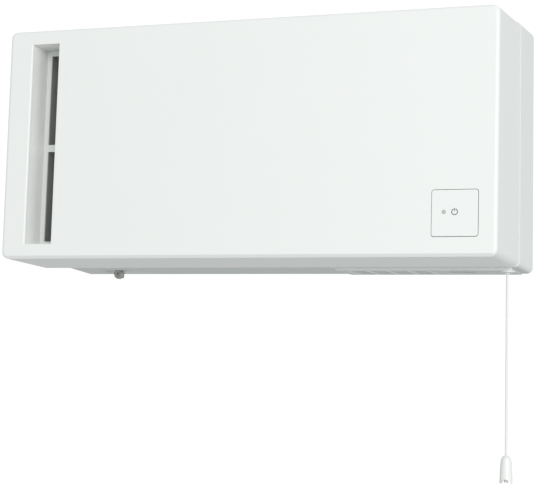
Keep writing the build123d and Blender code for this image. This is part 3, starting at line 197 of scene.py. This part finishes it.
# ---------------------------------------------------------------- node helpers
class Look:
    """One procedural material and short ways to add nodes to it."""

    def __init__(self, name, roughness=0.5, metallic=0.0, specular=0.5):
        self.material = bpy.data.materials.new(name)
        self.material.use_nodes = True
        self.tree = self.material.node_tree
        self.shader = self.tree.nodes["Principled BSDF"]
        self.shader.inputs["Roughness"].default_value = roughness
        self.shader.inputs["Metallic"].default_value = metallic
        self.shader.inputs["Specular IOR Level"].default_value = specular
        self.place = self.new("TexCoord").outputs["Object"]
        self.normal = None

    def new(self, kind, **settings):
        node = self.tree.nodes.new("ShaderNode" + kind)
        for key, value in settings.items():
            setattr(node, key, value)
        return node

    def put(self, target, value):
        if hasattr(value, "is_output"):
            self.tree.links.new(value, target)
        else:
            target.default_value = value

    def scaled(self, size, turn=(0.0, 0.0, 0.0)):
        """Coordinates stretched so that one pattern unit is size metres along each axis."""
        node = self.new("Mapping")
        self.put(node.inputs["Vector"], self.place)
        node.inputs["Rotation"].default_value = turn
        node.inputs["Scale"].default_value = [1.0 / s for s in size]
        return node.outputs["Vector"]

    def noise(self, size, detail=2.0, rough=0.5):
        """Soft noise from 0 to 1, about size metres from blob to blob."""
        if isinstance(size, (int, float)):
            size = (size, size, size)
        node = self.new("TexNoise")
        self.put(node.inputs["Vector"], self.scaled(size))
        node.inputs["Scale"].default_value = 1.0
        node.inputs["Detail"].default_value = detail
        node.inputs["Roughness"].default_value = rough
        return node.outputs["Fac"]

    def cells(self, size, feature="F1", output="Distance"):
        if isinstance(size, (int, float)):
            size = (size, size, size)
        node = self.new("TexVoronoi", feature=feature)
        self.put(node.inputs["Vector"], self.scaled(size))
        node.inputs["Scale"].default_value = 1.0
        return node.outputs[output]

    def bands(self, size, direction="Z", wobble=0.0, source=None, rings=False):
        """Sine bands, size metres apart along one axis, or rings about it."""
        node = self.new("TexWave")
        node.wave_type = "RINGS" if rings else "BANDS"
        if rings:
            node.rings_direction = direction
        else:
            node.bands_direction = direction
        self.put(node.inputs["Vector"], self.place if source is None else source)
        node.inputs["Scale"].default_value = 0.314 / size
        node.inputs["Distortion"].default_value = wobble
        node.inputs["Detail"].default_value = 1.0
        node.inputs["Detail Scale"].default_value = 1.5
        return node.outputs["Fac"]

    def span(self, value, low, high, start=0.0, end=1.0):
        node = self.new("MapRange")
        self.put(node.inputs["Value"], value)
        node.inputs["From Min"].default_value = start
        node.inputs["From Max"].default_value = end
        node.inputs["To Min"].default_value = low
        node.inputs["To Max"].default_value = high
        return node.outputs["Result"]

    def math(self, operation, a, b=0.0):
        node = self.new("Math", operation=operation)
        self.put(node.inputs[0], a)
        self.put(node.inputs[1], b)
        return node.outputs[0]

    def mix(self, factor, a, b):
        node = self.new("Mix", data_type="RGBA")
        self.put(node.inputs["Factor"], factor)
        colours = [s for s in node.inputs if s.type == "RGBA"]
        self.put(colours[0], a if hasattr(a, "is_output") else (*a, 1.0))
        self.put(colours[1], b if hasattr(b, "is_output") else (*b, 1.0))
        return [s for s in node.outputs if s.type == "RGBA"][0]

    def colour(self, value):
        self.put(self.shader.inputs["Base Color"], value)

    def roughness(self, value, low, high):
        self.put(self.shader.inputs["Roughness"], self.span(value, low, high))

    def relief(self, height, depth, strength=1.0):
        """Adds bumps that are depth metres high."""
        node = self.new("Bump")
        node.inputs["Strength"].default_value = strength
        node.inputs["Distance"].default_value = depth
        self.put(node.inputs["Height"], height)
        if self.normal is not None:
            self.put(node.inputs["Normal"], self.normal)
        self.normal = node.outputs["Normal"]
        self.put(self.shader.inputs["Normal"], self.normal)


def shade(colour, factor):
    return tuple(min(1.0, c * factor) for c in colour)


def moulded(name, colour, rough=0.4, tone=0.015, grain=0.0004, depth=0.00002, specular=0.5, sink=0.0002):
    """Moulded plastic: a fine spark-eroded grain, faint sink marks and a slightly uneven tone."""
    look = Look(name, roughness=rough, specular=specular)
    broad = look.noise(0.09, 2.0)
    fine = look.noise(0.0021, 3.0, 0.6)
    blend = look.math("ADD", look.math("MULTIPLY", broad, 0.75), look.math("MULTIPLY", fine, 0.25))
    look.colour(look.mix(blend, shade(colour, 1 - tone), shade(colour, 1 + tone)))
    look.roughness(look.noise(0.013, 3.0), rough - 0.06, rough + 0.06)
    look.relief(look.noise(grain, 2.0, 0.6), depth)
    look.relief(look.noise(0.05, 1.0), sink)
    return look


def metal(name, colour, rough=0.3, brushed=(0.02, 0.0003, 0.0003), depth=0.000012, tone=0.06):
    """Bright metal with a drawn or ground grain and slightly dulled patches."""
    look = Look(name, roughness=rough, metallic=1.0)
    grain = look.noise(brushed, 3.0, 0.6)
    patch = look.noise(0.007, 3.0, 0.6)
    mottle = look.math("MULTIPLY", grain, patch)
    look.colour(look.mix(mottle, shade(colour, 1 - tone), shade(colour, 1 + tone)))
    look.roughness(patch, rough - 0.08, rough + 0.12)
    look.relief(grain, depth)
    return look


# ---------------------------------------------------------------- materials, one for each slot
looks = {}

PLASTICS = {
    "white_shell": {
        "colour": (0.885, 0.892, 0.880), "rough": 0.42, "tone": 0.008, "grain": 0.0005, "depth": 0.000018,
    },
    "button_parts": {"colour": (0.84, 0.845, 0.83), "rough": 0.38, "tone": 0.01},
    "white_duct": {"colour": (0.80, 0.80, 0.785), "rough": 0.45, "tone": 0.02},
    "grey_duct": {
        "colour": (0.50, 0.51, 0.52), "rough": 0.5, "tone": 0.03, "grain": 0.0006, "depth": 0.00003,
    },
    "control_plastic": {"colour": (0.22, 0.23, 0.24), "rough": 0.48, "tone": 0.05, "depth": 0.00003},
    "cream_plastic": {"colour": (0.82, 0.78, 0.68), "rough": 0.4, "tone": 0.02},
    "knob_white": {
        "colour": (0.88, 0.885, 0.87), "rough": 0.28, "tone": 0.01, "grain": 0.0007, "depth": 0.00001,
    },
    "black_part": {"colour": (0.035, 0.036, 0.038), "rough": 0.3, "tone": 0.15, "depth": 0.00002},
}
for slot_name, settings in PLASTICS.items():
    looks[slot_name] = moulded(slot_name, **settings)

# wheels: black glass-filled plastic with a little grey dust along the blades
look = Look("black_wheel", roughness=0.55)
dust = look.noise(0.012, 4.0, 0.65)
look.colour(look.mix(look.span(dust, 0.0, 0.5, 0.45, 0.8), (0.035, 0.036, 0.038), (0.20, 0.20, 0.195)))
look.roughness(dust, 0.42, 0.75)
look.relief(look.noise(0.0006, 3.0, 0.7), 0.00004)
looks["black_wheel"] = look

# lens: smoked translucent plastic over a lamp, with a diffusing grain
look = Look("status_lens", roughness=0.22, specular=0.6)
grain = look.cells(0.0005)
look.colour(look.mix(grain, (0.60, 0.60, 0.585), (0.50, 0.50, 0.485)))
look.shader.inputs["Subsurface Weight"].default_value = 0.35
look.shader.inputs["Subsurface Scale"].default_value = 0.001
look.shader.inputs["Coat Weight"].default_value = 0.5
look.shader.inputs["Coat Roughness"].default_value = 0.1
look.relief(grain, 0.00002)
looks["status_lens"] = look

# printed mark: grey pad-printed ink, thin in places
look = Look("print_grey", roughness=0.5)
ink = look.noise(0.00035, 3.0, 0.7)
look.colour(look.mix(look.span(ink, 0.0, 0.35, 0.5, 0.8), (0.085, 0.09, 0.09), (0.30, 0.31, 0.31)))
look.roughness(ink, 0.4, 0.62)
look.relief(ink, 0.00001)
looks["print_grey"] = look

# galvanised sheet: spangle crystals of slightly different brightness
look = Look("zinc_sheet", roughness=0.42, metallic=1.0)
spangle = look.cells((0.011, 0.011, 0.014), output="Color")
split = look.new("SeparateColor")
look.put(split.inputs[0], spangle)
crystal = split.outputs[0]
haze = look.noise(0.03, 4.0, 0.6)
look.colour(look.mix(look.math("MULTIPLY", crystal, haze), (0.50, 0.51, 0.52), (0.72, 0.73, 0.735)))
look.roughness(crystal, 0.32, 0.52)
look.relief(look.cells((0.011, 0.011, 0.014), feature="DISTANCE_TO_EDGE"), 0.00003)
look.relief(look.noise((0.0004, 0.0004, 0.02), 2.0), 0.00001)
looks["zinc_sheet"] = look

looks["bright_metal"] = metal("bright_metal", (0.74, 0.73, 0.71), 0.24, brushed=(0.0003, 0.004, 0.0003))
looks["steel"] = metal("steel", (0.56, 0.56, 0.57), 0.34, brushed=(0.003, 0.0002, 0.003))

# motor shells: grey lacquer on pressed steel, with a slight orange peel
look = Look("motor_shell", roughness=0.36, metallic=0.35)
peel = look.noise(0.0016, 2.0, 0.5)
look.colour(look.mix(look.noise(0.02, 4.0, 0.6), (0.36, 0.37, 0.385), (0.44, 0.45, 0.465)))
look.roughness(peel, 0.28, 0.46)
look.shader.inputs["Coat Weight"].default_value = 0.3
look.shader.inputs["Coat Roughness"].default_value = 0.2
look.relief(peel, 0.00005)
looks["motor_shell"] = look

# windings: rows of enamelled wire round the motor's axis
look = Look("copper", roughness=0.26, metallic=0.9)
shifted = look.new("VectorMath", operation="SUBTRACT")
look.put(shifted.inputs[0], look.place)
middle = (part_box("motor_shaft")[0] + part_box("motor_shaft")[1]) / 2
shifted.inputs[1].default_value = middle
wire = look.bands(0.0006, "Y", 0.6, shifted.outputs[0], rings=True)
look.colour(look.mix(wire, (0.30, 0.12, 0.045), (0.78, 0.40, 0.17)))
look.roughness(wire, 0.45, 0.2)
look.shader.inputs["Coat Weight"].default_value = 0.6
look.shader.inputs["Coat Roughness"].default_value = 0.12
look.relief(wire, 0.0002)
looks["copper"] = look

# closed-cell foam: small cells with a dull skin
look = Look("dark_foam", roughness=0.9, specular=0.25)
cell = look.cells(0.0012, feature="SMOOTH_F1")
pores = look.math("MULTIPLY", cell, 0.6)
shades = look.math("MULTIPLY", look.noise(0.02, 3.0), 0.4)
look.colour(look.mix(look.math("ADD", pores, shades), (0.50, 0.505, 0.49), (0.36, 0.365, 0.355)))
look.roughness(cell, 0.8, 0.98)
look.relief(cell, 0.00035)
looks["dark_foam"] = look

# moulded bead foam: round beads pressed together, with darker joints between them
look = Look("white_foam", roughness=0.75, specular=0.3)
joint = look.cells(0.0034, feature="DISTANCE_TO_EDGE")
bead = look.cells(0.0034, output="Color")
split = look.new("SeparateColor")
look.put(split.inputs[0], bead)
tone = look.mix(split.outputs[0], (0.83, 0.835, 0.825), (0.90, 0.90, 0.89))
look.colour(look.mix(look.span(joint, 0.0, 1.0, 0.0, 0.10), (0.66, 0.665, 0.66), tone))
look.roughness(split.outputs[1], 0.62, 0.85)
look.relief(look.span(joint, 0.0, 1.0, 0.0, 0.16), 0.0002)
looks["white_foam"] = look

# exchanger core: stacked corrugated sheets, seen edge on as fine flutes
look = Look("core_paper", roughness=0.8, specular=0.3)
sheets = look.bands(0.0022, "Y", 0.3)
flutes = look.bands(0.0031, "DIAGONAL", 0.4)
flute = look.math("MULTIPLY", sheets, look.span(flutes, 0.45, 1.0))
look.colour(look.mix(flute, (0.34, 0.30, 0.22), (0.80, 0.75, 0.62)))
look.roughness(flutes, 0.7, 0.9)
look.relief(flute, 0.0009)
looks["core_paper"] = look

# strap: plain-woven tape
look = Look("strap_fabric", roughness=0.85, specular=0.2)
warp = look.bands(0.0011, "Y", 0.2)
weft = look.bands(0.0009, "DIAGONAL", 0.2)
weave = look.math("MAXIMUM", warp, weft)
look.colour(look.mix(weave, (0.06, 0.10, 0.17), (0.20, 0.30, 0.46)))
look.roughness(weave, 0.75, 0.95)
look.shader.inputs["Sheen Weight"].default_value = 0.4
look.relief(weave, 0.0003)
looks["strap_fabric"] = look

# filter cloth: matted fibres
look = Look("filter_cloth", roughness=0.95, specular=0.15)
fibres = look.noise((0.0005, 0.012, 0.0022), 5.0, 0.7)
crossing = look.noise((0.006, 0.0006, 0.0012), 5.0, 0.7)
felt = look.math("ADD", look.math("MULTIPLY", fibres, 0.5), look.math("MULTIPLY", crossing, 0.5))
look.colour(look.mix(look.span(felt, 0.0, 1.0, 0.3, 0.7), (0.56, 0.58, 0.58), (0.80, 0.82, 0.815)))
look.roughness(felt, 0.85, 1.0)
look.shader.inputs["Sheen Weight"].default_value = 0.3
look.relief(felt, 0.0008)
looks["filter_cloth"] = look

# filter mesh: a square net of dark threads
look = Look("filter_mesh", roughness=0.6, specular=0.35)
thread_a = look.bands(0.0016, "X", 0.05)
thread_b = look.bands(0.0016, "Z", 0.05)
net = look.span(look.math("MAXIMUM", thread_a, thread_b), 0.0, 1.0, 0.55, 0.85)
look.colour(look.mix(net, (0.02, 0.02, 0.022), (0.20, 0.20, 0.21)))
look.roughness(net, 0.8, 0.45)
look.relief(net, 0.0004)
looks["filter_mesh"] = look

# rubber: matt, with a faint bloom
look = Look("black_rubber", roughness=0.8, specular=0.3)
bloom = look.noise(0.004, 4.0, 0.65)
look.colour(look.mix(bloom, (0.028, 0.028, 0.03), (0.075, 0.075, 0.078)))
look.roughness(bloom, 0.68, 0.92)
look.relief(look.noise(0.0005, 2.0), 0.00004)
looks["black_rubber"] = look

# circuit board: green mask over copper tracks
look = Look("board_green", roughness=0.3, specular=0.5)
tracks = look.new("TexBrick", offset=0.37, squash=0.6, squash_frequency=3)
look.put(tracks.inputs["Vector"], look.scaled((0.010, 0.010, 0.010), (math.pi / 2, 0.0, 0.0)))
tracks.inputs["Color1"].default_value = (0.0, 0.0, 0.0, 1.0)
tracks.inputs["Color2"].default_value = (0.0, 0.0, 0.0, 1.0)
tracks.inputs["Mortar"].default_value = (1.0, 1.0, 1.0, 1.0)
tracks.inputs["Scale"].default_value = 1.0
tracks.inputs["Mortar Size"].default_value = 0.05
tracks.inputs["Brick Width"].default_value = 0.9
tracks.inputs["Row Height"].default_value = 0.32
line_mask = tracks.outputs["Fac"]
base = look.mix(look.noise(0.012, 3.0), (0.012, 0.11, 0.045), (0.018, 0.15, 0.06))
look.colour(look.mix(line_mask, base, (0.05, 0.30, 0.13)))
look.roughness(look.noise(0.003, 2.0), 0.22, 0.38)
look.shader.inputs["Coat Weight"].default_value = 0.4
look.relief(line_mask, 0.00005)
looks["board_green"] = look

# transformer iron: stacked laminations under varnish
look = Look("core_iron", roughness=0.5, metallic=0.7)
plates = look.bands(0.0009, "Y", 0.1)
varnish = look.math("MULTIPLY", plates, look.noise(0.006, 4.0))
look.colour(look.mix(varnish, (0.09, 0.085, 0.08), (0.36, 0.34, 0.32)))
look.roughness(plates, 0.55, 0.38)
look.relief(plates, 0.00012)
looks["core_iron"] = look

# cord: off-white polyester yarns
look = Look("cord_fibre", roughness=0.72, specular=0.35)
uv = look.new("TexCoord").outputs["UV"]
yarn = look.new("TexWave")
yarn.bands_direction = "DIAGONAL"
look.put(yarn.inputs["Vector"], uv)
yarn.inputs["Scale"].default_value = 9.0
yarn.inputs["Distortion"].default_value = 1.2
fuzz = look.noise(0.0004, 3.0, 0.7)
strand = look.math("MULTIPLY", yarn.outputs["Fac"], fuzz)
look.colour(look.mix(strand, (0.84, 0.845, 0.835), (0.96, 0.96, 0.95)))
look.roughness(fuzz, 0.62, 0.85)
look.shader.inputs["Sheen Weight"].default_value = 0.25
look.relief(yarn.outputs["Fac"], 0.00003)
looks["cord_fibre"] = look

# casing: the same plastic, a shade greyer, with fine mould lines across its underside, where painted
# shade makes it much greyer
look = moulded("casing_white", (0.86, 0.872, 0.862), rough=0.46, tone=0.01, grain=0.0005, depth=0.000018)
turned = look.new("SeparateXYZ")
look.put(turned.inputs[0], look.new("TexCoord").outputs["Normal"])
# painted shade: faces that point down are mixed towards a much darker grey
shade_and_lines_mask = look.span(look.math("MULTIPLY", turned.outputs["Z"], -1.0), 0.0, 1.0, 0.7, 0.98)
lines = look.bands(0.0042, "Y", 0.0)
blend = look.noise(0.02, 3.0)
pale = look.mix(blend, (0.855, 0.867, 0.857), (0.868, 0.880, 0.870))
mould_lines_and_shade = look.mix(lines, (0.60, 0.635, 0.63), (0.70, 0.73, 0.725))
look.colour(look.mix(shade_and_lines_mask, pale, mould_lines_and_shade))
look.relief(look.math("MULTIPLY", lines, shade_and_lines_mask), 0.00012)

own = {"rear_casing": look}

# slot liner: bright at its mouth and greyer further back, chosen to match the photo's shading
look = moulded("liner_white", (0.95, 0.955, 0.945), rough=0.42, tone=0.008, grain=0.0005, depth=0.000018)
where = look.new("SeparateXYZ")
look.put(where.inputs[0], look.place)
mouth, back_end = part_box("slot_liner")[0][1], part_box("slot_liner")[1][1]
inward = look.span(where.outputs["Y"], 0.0, 1.0, mouth + 0.012, back_end)
uneven = look.span(look.noise(0.012, 3.0), 0.85, 1.0)
# painted shade: the liner gets greyer the deeper it reaches into the slot
painted_recess_shade = look.math("MULTIPLY", look.math("POWER", inward, 1.4), uneven)
look.colour(look.mix(painted_recess_shade, (0.99, 0.99, 0.98), (0.66, 0.68, 0.66)))
own["slot_liner"] = look
own["outlet_guide"] = moulded("guide_white", (0.80, 0.81, 0.795), rough=0.45, tone=0.02)

# lock screw: dull cast zinc, mottled with darker patches
look = Look("cast_zinc", roughness=0.42, metallic=0.8)
worn = look.noise(0.0016, 4.0, 0.65)
look.colour(look.mix(look.span(worn, 0.0, 1.0, 0.3, 0.7), (0.30, 0.30, 0.29), (0.62, 0.62, 0.60)))
look.roughness(worn, 0.5, 0.3)
look.relief(worn, 0.00012)
own["lock_screw"] = look

for name, obj in nodes.items():
    for place in obj.material_slots:
        place.material = own.get(name, looks[slot_of[name]]).material
cord.data.materials.append(looks["cord_fibre"].material)
spring.data.materials.clear()
spring.data.materials.append(looks["steel"].material)


# ---------------------------------------------------------------- floor and light
def pale_floor(size, height):
    mesh = bmesh.new()
    steps = 24
    for i in range(steps + 1):
        for k in range(steps + 1):
            mesh.verts.new(((i / steps - 0.5) * size, (k / steps - 0.5) * size, height))
    mesh.verts.ensure_lookup_table()
    for i in range(steps):
        for k in range(steps):
            a = i * (steps + 1) + k
            mesh.faces.new([mesh.verts[j] for j in (a, a + steps + 1, a + steps + 2, a + 1)])
    data = bpy.data.meshes.new("floor")
    mesh.to_mesh(data)
    mesh.free()
    floor = link(bpy.data.objects.new("floor", data))
    look = Look("floor", roughness=0.8, specular=0.2)
    look.colour(look.mix(look.noise(0.8, 3.0), (0.70, 0.70, 0.70), (0.74, 0.74, 0.74)))
    look.relief(look.noise(0.01, 3.0), 0.0002)
    floor.data.materials.append(look.material)


FLOOR_SIZE = 9.0
FLOOR_Z = -2.1
pale_floor(FLOOR_SIZE, FLOOR_Z)


def softbox(name, place, aim, size, power, colour=(1.0, 1.0, 1.0)):
    data = bpy.data.lights.new(name, "AREA")
    data.shape = "RECTANGLE"
    data.size, data.size_y = size
    data.energy = power
    data.color = colour
    obj = link(bpy.data.objects.new(name, data))
    obj.location = place
    obj.rotation_euler = (Vector(aim) - Vector(place)).to_track_quat("-Z", "Z").to_euler()


softbox("front_light", (2.3, -4.0, 0.7), (0.0, -0.1, 0.0), (1.8, 1.8), 82.0)
softbox("right_light", (2.2, -1.7, 0.0), (0.1, -0.1, 0.0), (0.9, 2.4), 6.0)

world = bpy.data.worlds.new("studio")
scene.world = world
world.use_nodes = True
tree = world.node_tree
back = tree.nodes["Background"]
back.inputs["Color"].default_value = (0.605, 0.63, 0.622, 1.0)
back.inputs["Strength"].default_value = 1.0
plain = tree.nodes.new("ShaderNodeBackground")
plain.inputs["Color"].default_value = (1.0, 1.0, 1.0, 1.0)
plain.inputs["Strength"].default_value = 1.02
seen = tree.nodes.new("ShaderNodeLightPath")
either = tree.nodes.new("ShaderNodeMixShader")
tree.links.new(seen.outputs["Is Camera Ray"], either.inputs["Fac"])
tree.links.new(back.outputs["Background"], either.inputs[1])
tree.links.new(plain.outputs["Background"], either.inputs[2])
tree.links.new(either.outputs["Shader"], tree.nodes["World Output"].inputs["Surface"])
